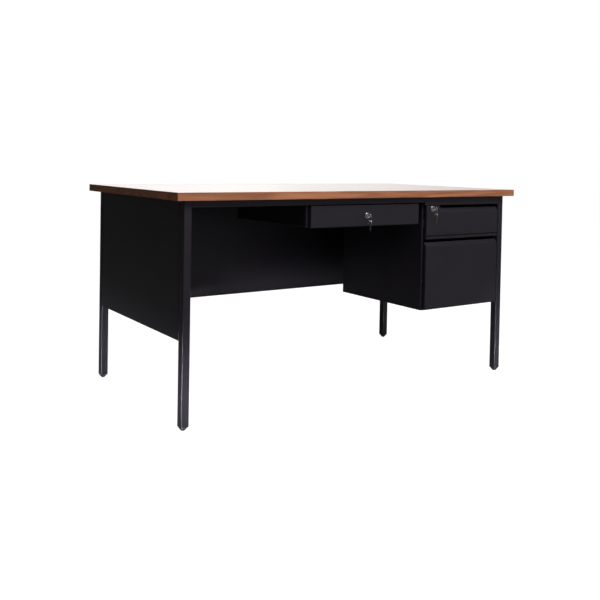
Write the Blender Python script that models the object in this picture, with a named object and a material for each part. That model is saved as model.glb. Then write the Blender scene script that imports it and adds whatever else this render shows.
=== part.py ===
"""A single-pedestal steel teacher desk: walnut laminate top, square tube legs, sheet-steel panels,
a locking centre drawer and a pedestal with a box drawer and a file drawer.

World frame: +X to the user's right, +Y away from the user, +Z up, origin on the floor under the
middle of the desktop. Sizes are millimetres at the top and become metres through MM.
"""
import math

import bmesh
import bpy
from mathutils import Matrix, Vector

MM = 0.001
GAP = 0.3                   # air between pieces that touch

# Desktop
WIDTH, DEPTH, HEIGHT = 1524.0, 762.0, 742.95
TOP_THICK = 25.4
LAMINATE = 0.8
BAND = 1.7                  # edge band thickness
BAND_CORNER = 2.2
TOP_UNDER = HEIGHT - TOP_THICK

# Frame of four legs, two end panels, a back panel and two rails
LEG = 28.6
LEG_WALL = 1.5
LEG_CORNER = 4.0
SIDE_INSET = 35.0           # desktop edge to the outer face of a leg
FRONT_INSET = 26.0
LEG_X = WIDTH / 2 - SIDE_INSET
LEG_Y = DEPTH / 2 - FRONT_INSET
GLIDE = 12.0                # height of a glide below its tube
FACE = -LEG_Y               # front plane shared by legs and drawer faces
SHEET = 1.0
PANEL_BOTTOM = 278.0
UNDER = TOP_UNDER - GAP     # highest level of the steelwork
RAIL_FACE = FACE + 1.0
RAIL_BACK = FACE + 13.5
RAIL_BOTTOM = 695.0
PED_RAIL_BOTTOM = 685.0

# Pedestal shell
PED_LEFT, PED_RIGHT = 290.0, 698.0
PED_BOTTOM, PED_BACK = 283.0, 132.0
SHELL_FRONT = FACE + 15.0
SHELL_FLANGE = 7.5
SLIDE_ROOM = 17.5           # side wall to drawer body

# Drawer fronts: outer skin with returns, and a liner that closes its back
FRONT_BACK = FACE + 14.0
PULL_SET_BACK = 11.5        # how far the slanted finger pull leans in
PULL_HIGH = 14.0
PED_FRONT_X = (299.0, 694.0)
BOX_Z = (555.0, 674.0)
FILE_Z = (286.0, 543.0)
TAB_X, TAB_TOP = 370.0, 683.0
GROOVE_Z, GROOVE_HIGH, GROOVE_DEEP = 565.5, 4.5, 0.6
CENTRE_X = (-244.0, 258.0)
CENTRE_Z = (616.0, 692.0)
CENTRE_MIDDLE = sum(CENTRE_X) / 2

# Drawer bodies
BODY_FRONT = FRONT_BACK + GAP
BODY_BACK = 108.0
BODY_LIP = 6.0
BOX_BODY_Z = (566.0, 663.5)
FILE_BODY_Z = (292.0, 528.0)
CENTRE_BODY_Z = (621.0, 684.0)
HANGER_WIDE, HANGER_OUT = 12.0, 10.0
HANGER_BOTTOM = 618.0
HANGER_BACK = 115.0

# Locks and keys
LOCK_FACE_R, BARREL_R, BORE_R, PLUG_R = 10.7, 8.2, 5.7, 5.4
CENTRE_LOCK = (6.0, 654.0)
PED_LOCK = (331.0, 671.5)
CAM_FRONT = FRONT_BACK + 0.6
CAM_THICK, CAM_WIDE = 1.8, 9.0
CENTRE_CAM_LONG, PED_CAM_LONG = 46.0, 26.0
KEY_THICK = 1.8
BOW_R, BOW_HOLE, BLADE_HIGH = 8.0, 3.2, 6.0
SHOULDER = 2.0              # shoulder of a key, from its bow
HOLE_OUT = 4.0              # ring hole, out from the middle of the bow
RING_R, RING_WIRE = 7.5, 0.55
LINK_GAP = 0.2              # air between the ring and the hole it hangs in
RING_PIVOT = (-0.5, -4.5)   # from the ring hole: the ring rolls round the metal below it
SPARE_BLADE = 22.0


def material(name, colour, metallic, roughness):
    mat = bpy.data.materials.new(name)
    mat.use_nodes = True
    shader = mat.node_tree.nodes["Principled BSDF"]
    shader.inputs["Base Color"].default_value = (*colour, 1)
    shader.inputs["Metallic"].default_value = metallic
    shader.inputs["Roughness"].default_value = roughness
    return mat


def body(name, pivot=(0, 0, 0), parent=None):
    """An empty on the joint axis of a moving body; pivot in millimetres of the world."""
    empty = bpy.data.objects.new(name, None)
    bpy.context.collection.objects.link(empty)
    place = Vector(pivot) * MM
    empty["pivot"] = tuple(place)
    empty.location = place - (Vector(parent["pivot"]) if parent else Vector())
    empty.parent = parent
    return empty


def add(name, bm, mat, parent, smooth=False):
    """Makes an object of bm, whose points are in world millimetres, under a body."""
    origin = Vector(parent["pivot"])
    bmesh.ops.transform(bm, matrix=Matrix.Scale(MM, 4), verts=bm.verts)
    bmesh.ops.translate(bm, vec=-origin, verts=bm.verts)
    bmesh.ops.recalc_face_normals(bm, faces=bm.faces)
    mesh = bpy.data.meshes.new(name)
    bm.to_mesh(mesh)
    bm.free()
    mesh.materials.append(mat)
    if smooth:
        mesh.shade_smooth()
        mesh.set_sharp_from_angle(angle=math.radians(35))
    obj = bpy.data.objects.new(name, mesh)
    obj.parent = parent
    bpy.context.collection.objects.link(obj)
    return obj


def cut(obj, bm, name):
    """Takes the solid bm away from obj with a Boolean modifier."""
    cutter = add(name, bm, obj.data.materials[0], obj.parent)
    cutter.hide_render = True
    cutter.display_type = "WIRE"
    modifier = obj.modifiers.new(name, "BOOLEAN")
    modifier.operation = "DIFFERENCE"
    modifier.solver = "EXACT"
    modifier.object = cutter


def bevel(obj, width, segments=2):
    modifier = obj.modifiers.new("Bevel", "BEVEL")
    modifier.width = width * MM
    modifier.segments = segments
    modifier.limit_method = "ANGLE"
    modifier.angle_limit = math.radians(40)


def block(low, high):
    bm = bmesh.new()
    size = Vector(high) - Vector(low)
    middle = (Vector(high) + Vector(low)) / 2
    matrix = Matrix.Translation(middle) @ Matrix.Diagonal((*size, 1))
    bmesh.ops.create_cube(bm, size=1, matrix=matrix)
    return bm


def pan(low, high, open_to, wall=SHEET):
    """A sheet pan: a block hollowed from the side that open_to points at."""
    bm = block(low, high)
    way = Vector(open_to)
    deep = abs(way.dot(Vector(high) - Vector(low))) - wall
    bm.normal_update()
    mouth = [face for face in bm.faces if face.normal.dot(way) > 0.9]
    bmesh.ops.inset_region(bm, faces=mouth, thickness=wall, use_even_offset=True)
    inner = bmesh.ops.extrude_discrete_faces(bm, faces=mouth)["faces"]
    bmesh.ops.translate(bm, vec=-deep * way, verts=inner[0].verts)
    return bm


def prism(outline, axis, start, end):
    """Extrudes an outline along X, Y or Z. Outline points are the two other coordinates, in XYZ order."""
    bm = bmesh.new()
    keep = [i for i in range(3) if i != axis]
    verts = []
    for point in outline:
        co = [0, 0, 0]
        co[keep[0]], co[keep[1]] = point
        co[axis] = start
        verts.append(bm.verts.new(co))
    face = bm.faces.new(verts)
    moved = bmesh.ops.extrude_face_region(bm, geom=[face])["geom"]
    step = [0, 0, 0]
    step[axis] = end - start
    bmesh.ops.translate(bm, vec=step, verts=[v for v in moved if isinstance(v, bmesh.types.BMVert)])
    return bm


def arc(centre, radius, start, end, steps):
    """Points on an arc, angles in degrees."""
    angles = [math.radians(start + (end - start) * i / steps) for i in range(steps + 1)]
    return [(centre[0] + radius * math.cos(a), centre[1] + radius * math.sin(a)) for a in angles]


def rounded(half_u, half_v, radius, steps, middle=(0, 0)):
    """A rectangle with rounded corners, anticlockwise."""
    points = []
    for i, (su, sv) in enumerate(((1, 1), (-1, 1), (-1, -1), (1, -1))):
        centre = (middle[0] + su * (half_u - radius), middle[1] + sv * (half_v - radius))
        points += arc(centre, radius, 90 * i, 90 * i + 90, steps)
    return points


def ring_wall(outer, inner, low, high):
    """A closed wall standing between two outlines with as many points, from low to high."""
    bm = bmesh.new()
    loops = [[bm.verts.new((x, y, z)) for x, y in outline]
             for outline, z in ((outer, low), (outer, high), (inner, high), (inner, low))]
    for first, second in zip(loops, loops[1:] + loops[:1]):
        for i in range(len(first)):
            j = (i + 1) % len(first)
            bm.faces.new((first[i], first[j], second[j], second[i]))
    return bm


def turned(profile, steps, matrix):
    """A closed profile of (radius, height) spun about +Z, then placed by matrix."""
    bm = bmesh.new()
    verts = [bm.verts.new((r, 0, h)) for r, h in profile]
    closed = profile[0][0] > 0
    pairs = zip(verts, verts[1:] + verts[:1]) if closed else zip(verts, verts[1:])
    edges = [bm.edges.new(pair) for pair in pairs]
    bmesh.ops.spin(bm, geom=verts + edges, cent=(0, 0, 0), axis=(0, 0, 1), angle=2 * math.pi,
                   steps=steps, use_merge=False, use_duplicate=False)
    bmesh.ops.remove_doubles(bm, verts=bm.verts, dist=0.0005)
    bmesh.ops.transform(bm, matrix=matrix, verts=bm.verts)
    return bm


def along_y(x, y, z):
    """Places a turned piece with its axis along +Y."""
    return Matrix.Translation((x, y, z)) @ Matrix.Rotation(math.radians(-90), 4, "X")


# --- Desktop -----------------------------------------------------------------------------------

def desktop(root, mats):
    edge_x, edge_y = WIDTH / 2, DEPTH / 2
    core_x, core_y = edge_x - BAND - GAP, edge_y - BAND - GAP
    core_top = HEIGHT - LAMINATE - GAP
    add("desktop_core", block((-core_x, -core_y, TOP_UNDER), (core_x, core_y, core_top)), mats["board"], root)
    add("desktop_laminate", block((-core_x, -core_y, core_top + GAP), (core_x, core_y, HEIGHT)),
        mats["walnut"], root)
    outer = rounded(edge_x, edge_y, BAND_CORNER, 4)
    inner = rounded(edge_x - BAND, edge_y - BAND, BAND_CORNER - BAND, 4)
    add("desktop_edge_band", ring_wall(outer, inner, TOP_UNDER, HEIGHT), mats["band"], root, True)


# --- Frame -------------------------------------------------------------------------------------

def leg(name, x, y, root, mats):
    outer = rounded(LEG / 2, LEG / 2, LEG_CORNER, 3, (x, y))
    inner = rounded(LEG / 2 - LEG_WALL, LEG / 2 - LEG_WALL, LEG_CORNER - LEG_WALL, 3, (x, y))
    add("leg_" + name, ring_wall(outer, inner, GLIDE, UNDER), mats["black"], root, True)


def glide(name, x, y, root, mats):
    """A coned foot with a plug that is pressed into the end of the tube."""
    wide, flat, plug = 14.0, 6.0, 10.5
    cone_top, collar_top = 9.0, GLIDE - GAP
    profile = [(0, 0), (flat, 0), (wide, cone_top), (wide, collar_top), (plug, collar_top)]
    profile += [(plug, GLIDE + 18), (plug - 2, GLIDE + 20), (0, GLIDE + 20)]
    add("glide_" + name, turned(profile, 24, Matrix.Translation((x, y, 0))), mats["nylon"], root, True)


def frame(root, mats):
    middle_x, middle_y = LEG_X - LEG / 2, LEG_Y - LEG / 2
    for across, sx in (("left", -1), ("right", 1)):
        for along, sy in (("front", -1), ("rear", 1)):
            leg(f"{along}_{across}", sx * middle_x, sy * middle_y, root, mats)
            glide(f"{along}_{across}", sx * middle_x, sy * middle_y, root, mats)
    inside_y = LEG_Y - LEG - GAP
    flange = 20.0
    proud = LEG_X - 0.4
    for name, sx in (("left", -1), ("right", 1)):
        low_x, high_x = sorted((sx * proud, sx * (proud - flange)))
        add("end_panel_" + name, pan((low_x, -inside_y, PANEL_BOTTOM), (high_x, inside_y, UNDER), (-sx, 0, 0)),
            mats["black"], root)
    inside_x = LEG_X - LEG - GAP
    back_y = LEG_Y - 15.0
    add("modesty_panel", pan((-inside_x, back_y - 12.5, PANEL_BOTTOM), (inside_x, back_y, UNDER), (0, -1, 0)),
        mats["black"], root)
    for name, low_x, high_x, bottom in (("front_rail", -inside_x, PED_LEFT - GAP, RAIL_BOTTOM),
                                        ("pedestal_rail", PED_LEFT, inside_x, PED_RAIL_BOTTOM)):
        add(name, prism(channel((RAIL_FACE, bottom), (RAIL_BACK, UNDER)), 0, low_x, high_x),
            mats["black"], root)


def channel(low, high, wall=SHEET):
    """A C outline whose web is at the low side of the first coordinate."""
    (u0, v0), (u1, v1) = low, high
    return [(u0, v0), (u1, v0), (u1, v0 + wall), (u0 + wall, v0 + wall),
            (u0 + wall, v1 - wall), (u1, v1 - wall), (u1, v1), (u0, v1)]


# --- Pedestal and hangers ----------------------------------------------------------------------

def pedestal(root, mats):
    """Two side walls with narrow flanges, a back and a bottom, hung from the desktop."""
    for name, wall_x, inward in (("left", PED_LEFT, 1), ("right", PED_RIGHT, -1)):
        low_x, high_x = sorted((wall_x, wall_x + inward * SHELL_FLANGE))
        add("pedestal_side_" + name, pan((low_x, SHELL_FRONT, PED_BOTTOM), (high_x, PED_BACK, UNDER), (inward, 0, 0)),
            mats["black"], root)
    inside = SHELL_FLANGE + GAP
    add("pedestal_back", block((PED_LEFT + inside, PED_BACK - SHEET, PED_BOTTOM), (PED_RIGHT - inside, PED_BACK, UNDER)),
        mats["black"], root)
    add("pedestal_bottom", block((PED_LEFT + inside, SHELL_FRONT, PED_BOTTOM),
                                 (PED_RIGHT - inside, PED_BACK - SHEET - GAP, PED_BOTTOM + SHEET)), mats["black"], root)


def hangers(root, mats):
    """Two narrow pans under the desktop that carry the centre drawer's tracks."""
    for name, outer_x, inward in (("left", CENTRE_X[0] - HANGER_OUT, 1), ("right", CENTRE_X[1] + HANGER_OUT, -1)):
        low_x, high_x = sorted((outer_x, outer_x + inward * HANGER_WIDE))
        add("drawer_hanger_" + name, pan((low_x, SHELL_FRONT, HANGER_BOTTOM), (high_x, HANGER_BACK, UNDER),
                                         (inward, 0, 0)), mats["black"], root)


# --- Slides ------------------------------------------------------------------------------------

SLIDE_WALL = 1.2
SLIDE_FRONT = SHELL_FRONT + 5.0


def member(name, wall_x, inward, z, reach, half_high, opens_in, length, parent, mats):
    """One steel channel of a slide. reach is its near and far side, measured from the side wall."""
    near, far = reach
    web = near if opens_in else far
    lip = far if opens_in else near
    u = sorted((wall_x + inward * web, wall_x + inward * lip))
    outline = channel((0, z - half_high), (u[1] - u[0], z + half_high), SLIDE_WALL)
    web_low = wall_x + inward * web == u[0]
    outline = [((u[0] + a) if web_low else (u[1] - a), b) for a, b in outline]
    add(name, prism(outline, 1, SLIDE_FRONT, SLIDE_FRONT + length), mats["zinc"], parent)


def slides(prefix, walls, z, reaches, highs, length, parents, mats):
    """Left and right slides: a track on the shell, sometimes a middle member, and a runner on the drawer."""
    names = ("track", "runner") if len(reaches) == 2 else ("track", "middle_slide", "runner")
    for side, wall_x, inward in (("left", walls[0], 1), ("right", walls[1], -1)):
        for name, reach, high, parent in zip(names, reaches, highs, parents):
            member(f"{prefix}_{name}_{side}", wall_x, inward, z, reach, high, name != "runner", length, parent, mats)


# --- Drawers -----------------------------------------------------------------------------------

def drawer_body(prefix, xs, zs, parent, mats):
    """A folded sheet with a bottom and two lipped sides, and a back plate between them."""
    (x0, x1), (z0, z1) = xs, zs
    lip = BODY_LIP
    outline = [(x0, z0), (x1, z0), (x1, z1), (x1 - lip, z1), (x1 - lip, z1 - SHEET), (x1 - SHEET, z1 - SHEET),
               (x1 - SHEET, z0 + SHEET), (x0 + SHEET, z0 + SHEET), (x0 + SHEET, z1 - SHEET), (x0 + lip, z1 - SHEET),
               (x0 + lip, z1), (x0, z1)]
    add(prefix + "_pan", prism(outline, 1, BODY_FRONT, BODY_BACK), mats["black"], parent)
    edge = SHEET + GAP
    add(prefix + "_back", block((x0 + edge, BODY_BACK - SHEET, z0 + edge), (x1 - edge, BODY_BACK, z1 - edge)),
        mats["black"], parent)


def pull_outline(zs, inset):
    """Side outline of a front whose upper edge leans in as a finger pull."""
    z0, z1 = zs
    back = FRONT_BACK + (10 if inset else 0)
    lean_z = z1 - inset - PULL_HIGH
    return [(FACE + inset, z0 + inset), (back, z0 + inset), (back, z1 - inset),
            (FACE + PULL_SET_BACK + inset / 2, z1 - inset), (FACE + inset, lean_z + inset / 2)]


def flat_front(prefix, xs, zs, parent, mats):
    """A plain boxed front: a skin with returns all round."""
    return add(prefix + "_front", pan((xs[0], FACE, zs[0]), (xs[1], FRONT_BACK, zs[1]), (0, 1, 0)),
               mats["black"], parent)


def pull_front(prefix, xs, zs, parent, mats):
    """A boxed front with the leaning pull: an outer prism less an inner one."""
    skin = add(prefix + "_front", prism(pull_outline(zs, 0), 0, *xs), mats["black"], parent)
    cut(skin, prism(pull_outline(zs, SHEET), 0, xs[0] + SHEET, xs[1] - SHEET), prefix + "_hollow")
    return skin


def tabbed_front(prefix, xs, zs, parent, mats):
    """The box drawer's front: the leaning pull stops short of a full-height tab that carries the lock."""
    outline = [(xs[0], zs[0]), (xs[1], zs[0]), (xs[1], zs[1]), (TAB_X, zs[1]), (TAB_X, TAB_TOP), (xs[0], TAB_TOP)]
    skin = add(prefix + "_front", prism(outline, 1, FACE, FRONT_BACK), mats["black"], parent)
    rise = PULL_HIGH / PULL_SET_BACK
    out = 5.0
    wedge = [(FACE - out, zs[1] - PULL_HIGH - out * rise), (FACE + PULL_SET_BACK, zs[1]),
             (FACE + PULL_SET_BACK, zs[1] + out), (FACE - out, zs[1] + out)]
    cut(skin, prism(wedge, 0, TAB_X, xs[1] + out), prefix + "_lean")
    cut(skin, prism(pull_outline(zs, SHEET), 0, TAB_X - 2 * SHEET, xs[1] - SHEET), prefix + "_hollow")
    cut(skin, block((xs[0] + SHEET, FACE + SHEET, zs[0] + SHEET), (TAB_X - SHEET, FRONT_BACK + 10, TAB_TOP - SHEET)),
        prefix + "_tab_hollow")
    cut(skin, block((xs[0] - out, FACE - out, GROOVE_Z), (xs[1] + out, FACE + GROOVE_DEEP, GROOVE_Z + GROOVE_HIGH)),
        prefix + "_groove")
    return skin


def liner(prefix, outline, parent, mats):
    """A flat plate inside the skin's returns that closes the back of a front."""
    back = FRONT_BACK - GAP
    return add(prefix + "_liner", prism(outline, 1, back - SHEET, back), mats["black"], parent)


def plate_outline(xs, zs, tab=None):
    """A rectangle set in from the skin, or one with a taller tab at its left."""
    edge = SHEET + GAP
    x0, x1, z0, z1 = xs[0] + edge, xs[1] - edge, zs[0] + edge, zs[1] - edge
    if tab is None:
        return [(x0, z0), (x1, z0), (x1, z1), (x0, z1)]
    tab_x, tab_z = tab[0] - edge, tab[1] - edge
    return [(x0, z0), (x1, z0), (x1, z1), (tab_x, z1), (tab_x, tab_z), (x0, tab_z)]


# --- Locks -------------------------------------------------------------------------------------

def lock_hole(obj, lock, name):
    x, z = lock
    hole = BARREL_R + GAP
    profile = [(0, 0), (hole, 0), (hole, 60), (0, 60)]
    cut(obj, turned(profile, 24, along_y(x, FACE - 20, z)), name)


def key_outline(blade):
    """Outline of a key in its own plane: the blade along +u, the bow round (0, 0)."""
    half = BLADE_HIGH / 2
    meet = math.degrees(math.asin(half / BOW_R))
    bow = arc((0, 0), BOW_R, meet, 360 - meet, 22)
    tip = BOW_R + blade
    neck, stop, wide = BOW_R + 0.5, BOW_R + SHOULDER, half + 1.5
    return bow + [(neck, -wide), (stop, -wide), (stop, -half), (tip - 2, -half), (tip, -half + 2),
                  (tip, half), (stop, half), (stop, wide), (neck, wide)]


def key(name, place, blade, parent, mats):
    """place maps the key's own (thickness, along, across) frame to the world."""
    bm = prism(key_outline(blade), 0, -KEY_THICK / 2, KEY_THICK / 2)
    bmesh.ops.transform(bm, matrix=place, verts=bm.verts)
    obj = add(name, bm, mats["nickel"], parent)
    hole = turned([(0, -5), (BOW_HOLE, -5), (BOW_HOLE, 5), (0, 5)], 16,
                  place @ Matrix.Translation((0, -HOLE_OUT, 0)) @ Matrix.Rotation(math.radians(90), 4, "Y"))
    cut(obj, hole, name + "_hole")


def lock(prefix, centre, cam_long, drawer, mats):
    """A cam lock with its key in, and a spare key that hangs from a ring in the key's bow."""
    x, z = centre
    face = FACE - GAP
    bezel = 1.9
    housing = [(BORE_R, face - bezel), (LOCK_FACE_R - 0.8, face - bezel), (LOCK_FACE_R, face - bezel + 0.8),
               (LOCK_FACE_R, face), (BARREL_R, face), (BARREL_R, FRONT_BACK), (BORE_R, FRONT_BACK)]
    add(prefix + "_lock_housing", turned([(r, y - FACE) for r, y in housing], 32, along_y(x, FACE, z)),
        mats["nickel"], drawer, True)

    turn = body(prefix + "_lock_turn", (x, FACE, z), drawer)
    plug_front, stud_back = face - bezel - 0.4, CAM_FRONT + CAM_THICK + 2
    plug = [(0, plug_front), (PLUG_R, plug_front), (PLUG_R, FRONT_BACK + 0.2), (3.0, FRONT_BACK + 0.2),
            (3.0, stud_back), (0, stud_back)]
    obj = add(prefix + "_lock_plug", turned([(r, y - FACE) for r, y in plug], 32, along_y(x, FACE, z)),
              mats["nickel"], turn, True)
    slot_x, slot_z = KEY_THICK / 2 + 0.35, BLADE_HIGH / 2 + 0.4
    cut(obj, block((x - slot_x, plug_front - 5, z - slot_z), (x + slot_x, FACE + 12, z + slot_z)), prefix + "_keyway")

    tail = CAM_WIDE / 2
    outline = arc((x, z), tail + 1.5, -90, 90, 8) + [(x - cam_long, z + tail), (x - cam_long, z - tail)]
    cam = add(prefix + "_lock_cam", prism(outline, 1, CAM_FRONT, CAM_FRONT + CAM_THICK), mats["zinc"], turn)
    cut(cam, turned([(0, -5), (3.3, -5), (3.3, 15), (0, 15)], 16, along_y(x, CAM_FRONT, z)), prefix + "_cam_hole")

    bow_y = plug_front - GAP - SHOULDER - BOW_R
    key(prefix + "_key", Matrix.Translation((x, bow_y, z)), 14.0, turn, mats)

    hole_y = bow_y - HOLE_OUT
    slack = BOW_HOLE - RING_WIRE - LINK_GAP
    ring_z = z - slack - RING_R
    ring = body(prefix + "_ring_swing", (x + RING_PIVOT[0], hole_y, z + RING_PIVOT[1]), turn)
    wire = [(RING_R + u, v) for u, v in arc((0, 0), RING_WIRE, 0, 360, 8)[:-1]]
    add(prefix + "_key_ring", turned(wire, 32, along_y(x, hole_y, ring_z)), mats["nickel"], ring, True)

    hook_z = ring_z - RING_R
    spare = body(prefix + "_spare_swing", (x, hole_y, hook_z), ring)
    down = Matrix.Rotation(math.radians(-90), 4, "X")
    bow_z = hook_z - slack - HOLE_OUT
    key(prefix + "_spare_key", Matrix.Translation((x, hole_y, bow_z)) @ down, SPARE_BLADE, spare, mats)


# --- Assembly ----------------------------------------------------------------------------------

def centre_drawer(root, mats):
    drawer = body("centre_drawer", (CENTRE_MIDDLE, FACE, CENTRE_Z[0]), root)
    skin = flat_front("centre_drawer", CENTRE_X, CENTRE_Z, drawer, mats)
    lining = liner("centre_drawer", plate_outline(CENTRE_X, CENTRE_Z), drawer, mats)
    lock_hole(skin, CENTRE_LOCK, "centre_front_hole")
    lock_hole(lining, CENTRE_LOCK, "centre_liner_hole")
    room = HANGER_WIDE + 13.0 - HANGER_OUT
    drawer_body("centre_drawer", (CENTRE_X[0] + room, CENTRE_X[1] - room), CENTRE_BODY_Z, drawer, mats)
    walls = (CENTRE_X[0] - HANGER_OUT + SHEET, CENTRE_X[1] + HANGER_OUT - SHEET)
    reaches = ((GAP, 21.0), (11.5, 23.7))
    slides("centre", walls, 655.0, reaches, (17.0, 14.3), 430.0, (root, drawer), mats)
    lock("centre", CENTRE_LOCK, CENTRE_CAM_LONG, drawer, mats)


def pedestal_drawers(root, mats):
    walls = (PED_LEFT + SHEET, PED_RIGHT - SHEET)
    body_x = (walls[0] + SLIDE_ROOM, walls[1] - SLIDE_ROOM)
    runner = (9.4, SLIDE_ROOM - GAP)

    box = body("box_drawer", (sum(PED_FRONT_X) / 2, FACE, BOX_Z[0]), root)
    skin = tabbed_front("box_drawer", PED_FRONT_X, BOX_Z, box, mats)
    lining = liner("box_drawer", plate_outline(PED_FRONT_X, BOX_Z, (TAB_X, TAB_TOP)), box, mats)
    lock_hole(skin, PED_LOCK, "box_front_hole")
    lock_hole(lining, PED_LOCK, "box_liner_hole")
    drawer_body("box_drawer", body_x, BOX_BODY_Z, box, mats)
    slides("box", walls, 615.0, ((GAP, 13.0), runner), (17.0, 14.3), 430.0, (root, box), mats)
    lock("pedestal", PED_LOCK, PED_CAM_LONG, box, mats)

    filing = body("file_drawer", (sum(PED_FRONT_X) / 2, FACE, FILE_Z[0]), root)
    between = body("file_middle", (sum(PED_FRONT_X) / 2, FACE, FILE_Z[0]), root)
    pull_front("file_drawer", PED_FRONT_X, FILE_Z, filing, mats)
    liner("file_drawer", plate_outline(PED_FRONT_X, FILE_Z), filing, mats)
    drawer_body("file_drawer", body_x, FILE_BODY_Z, filing, mats)
    slides("file", walls, 410.0, ((GAP, 13.0), (7.4, 15.0), runner), (22.0, 19.3, 16.6), 440.0,
           (root, between, filing), mats)


def main():
    for obj in list(bpy.data.objects):
        bpy.data.objects.remove(obj)
    mats = {
        "walnut": material("walnut_laminate", (0.30, 0.15, 0.08), 0.0, 0.35),
        "band": material("walnut_edge_band", (0.27, 0.12, 0.06), 0.0, 0.45),
        "board": material("particle_board", (0.45, 0.33, 0.20), 0.0, 0.9),
        "black": material("black_powder_coat", (0.02, 0.02, 0.022), 0.0, 0.45),
        "nylon": material("black_nylon", (0.02, 0.02, 0.02), 0.0, 0.5),
        "zinc": material("zinc_plated_steel", (0.62, 0.63, 0.65), 1.0, 0.35),
        "nickel": material("nickel_plated_steel", (0.75, 0.75, 0.74), 1.0, 0.18),
    }
    root = body("desk")
    desktop(root, mats)
    frame(root, mats)
    pedestal(root, mats)
    hangers(root, mats)
    centre_drawer(root, mats)
    pedestal_drawers(root, mats)


main()
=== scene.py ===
# %% [markdown]
# # A steel teacher desk
#
# The desk is a walnut-look top on four square steel tubes. Sheet-steel panels close its sides and
# back, a shallow drawer hangs under the middle of the top, and a pedestal at the right holds a box
# drawer and a file drawer. Every piece here is a surface worked out with numpy: an outline, a
# profile, and a path that the one is carried along.
#
# The first cell loads the solid model that fixes every size and joint. Nothing below moves it.

# %% Load the frame
import math

import bpy
import numpy as np
from mathutils import Matrix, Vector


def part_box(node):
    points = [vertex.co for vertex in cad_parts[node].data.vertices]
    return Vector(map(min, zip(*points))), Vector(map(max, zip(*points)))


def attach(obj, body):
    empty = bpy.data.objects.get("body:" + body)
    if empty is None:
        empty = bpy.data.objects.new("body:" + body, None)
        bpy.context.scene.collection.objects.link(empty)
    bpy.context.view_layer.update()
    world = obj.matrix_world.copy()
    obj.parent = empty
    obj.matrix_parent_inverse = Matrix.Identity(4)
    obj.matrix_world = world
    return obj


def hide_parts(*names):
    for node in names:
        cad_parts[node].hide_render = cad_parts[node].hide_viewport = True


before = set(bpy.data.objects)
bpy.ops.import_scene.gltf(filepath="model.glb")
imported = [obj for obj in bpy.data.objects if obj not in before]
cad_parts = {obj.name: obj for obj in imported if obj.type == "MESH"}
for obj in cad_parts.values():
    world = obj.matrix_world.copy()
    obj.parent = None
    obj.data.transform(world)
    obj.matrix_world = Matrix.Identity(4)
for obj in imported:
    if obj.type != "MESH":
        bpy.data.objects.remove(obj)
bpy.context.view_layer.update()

MM = 0.001


# %% [markdown]
# ## From arrays to a mesh
#
# A surface is a grid of points: each row is one outline, and the rows follow one another along a
# path. Four neighbours in the grid make one face. An outline that closes on itself joins its last
# column to its first, and a solid closes its two ends with one flat face each.

# %% A grid becomes a piece
def piece(name, grid, finish, body, round_column=True, round_row=False, ends=True, sharp=35):
    """A mesh whose faces join each point to its neighbours in the row and in the next row.

    round_column joins each outline's end to its start, round_row joins the last outline to the
    first, and ends closes the first and last outlines. Edges that turn by more than sharp degrees
    stay crisp.
    """
    grid = np.asarray(grid, float)
    rows, columns = grid.shape[:2]
    index = np.arange(rows * columns).reshape(rows, columns)
    first, last = index[0].copy(), index[-1].copy()
    if round_column:
        index = np.hstack([index, index[:, :1]])
    if round_row:
        index = np.vstack([index, index[:1]])
    quads = np.stack([index[:-1, :-1], index[1:, :-1], index[1:, 1:], index[:-1, 1:]], -1)
    faces = quads.reshape(-1, 4).tolist()
    if ends and not round_row:
        faces += [first.tolist(), last[::-1].tolist()]
    mesh = bpy.data.meshes.new(name)
    mesh.from_pydata(grid.reshape(-1, 3), [], faces)
    if signed_volume(mesh) < 0:
        mesh.flip_normals()
    mesh.shade_smooth()
    mesh.set_sharp_from_angle(angle=math.radians(sharp))
    mesh.normals_split_custom_set(corner_normals(mesh, sharp))
    mesh.materials.append(finish)
    made = bpy.data.objects.new(name, mesh)
    bpy.context.scene.collection.objects.link(made)
    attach(made, body)
    return made


def read(items, name, kind, wide=1):
    """One property of all of a mesh's points, corners or faces, as an array."""
    values = np.empty(len(items) * wide, kind)
    items.foreach_get(name, values)
    return values.reshape(-1, wide) if wide > 1 else values


def corner_normals(mesh, sharp):
    """Each face corner's normal: the sum of area x normal over the faces at that point which lie
    within sharp degrees of its own face. A large flat face then stays flat up to its rolled edge."""
    vertex = read(mesh.loops, "vertex_index", np.int32)
    face = np.repeat(np.arange(len(mesh.polygons)), read(mesh.polygons, "loop_total", np.int32))
    normal = read(mesh.polygons, "normal", np.float32, 3)[face]
    area = read(mesh.polygons, "area", np.float32)[face]
    together = np.bincount(vertex)
    start, count = (np.cumsum(together) - together)[vertex], together[vertex]
    order = np.argsort(vertex, kind="stable")
    rank = np.empty_like(order)
    rank[order] = np.arange(len(order)) - start[order]
    total = np.zeros_like(normal)
    for step in range(count.max()):
        other = order[start + (rank + step) % count]
        close = (normal * normal[other]).sum(-1) > math.cos(math.radians(sharp))
        total += (close * (step < count) * area[other])[:, None] * normal[other]
    return total / np.maximum(np.linalg.norm(total, axis=-1, keepdims=True), 1e-12)


def signed_volume(mesh):
    """Six times the volume: the sum over the triangles of corner . (corner x corner)."""
    mesh.calc_loop_triangles()
    points = read(mesh.vertices, "co", float, 3)
    return np.linalg.det(points[read(mesh.loop_triangles, "vertices", np.int32, 3)]).sum()


# %% [markdown]
# ## Outlines
#
# Sheet steel is never folded to a knife edge: a bend in 1 mm sheet has an outside radius of about
# 2 mm, and that radius is what catches the light. So a corner in an outline is always cut back along
# both sides and joined by an arc.

# %% Corners into bends
def unit(vectors):
    return vectors / np.linalg.norm(vectors, axis=-1, keepdims=True)


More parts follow.
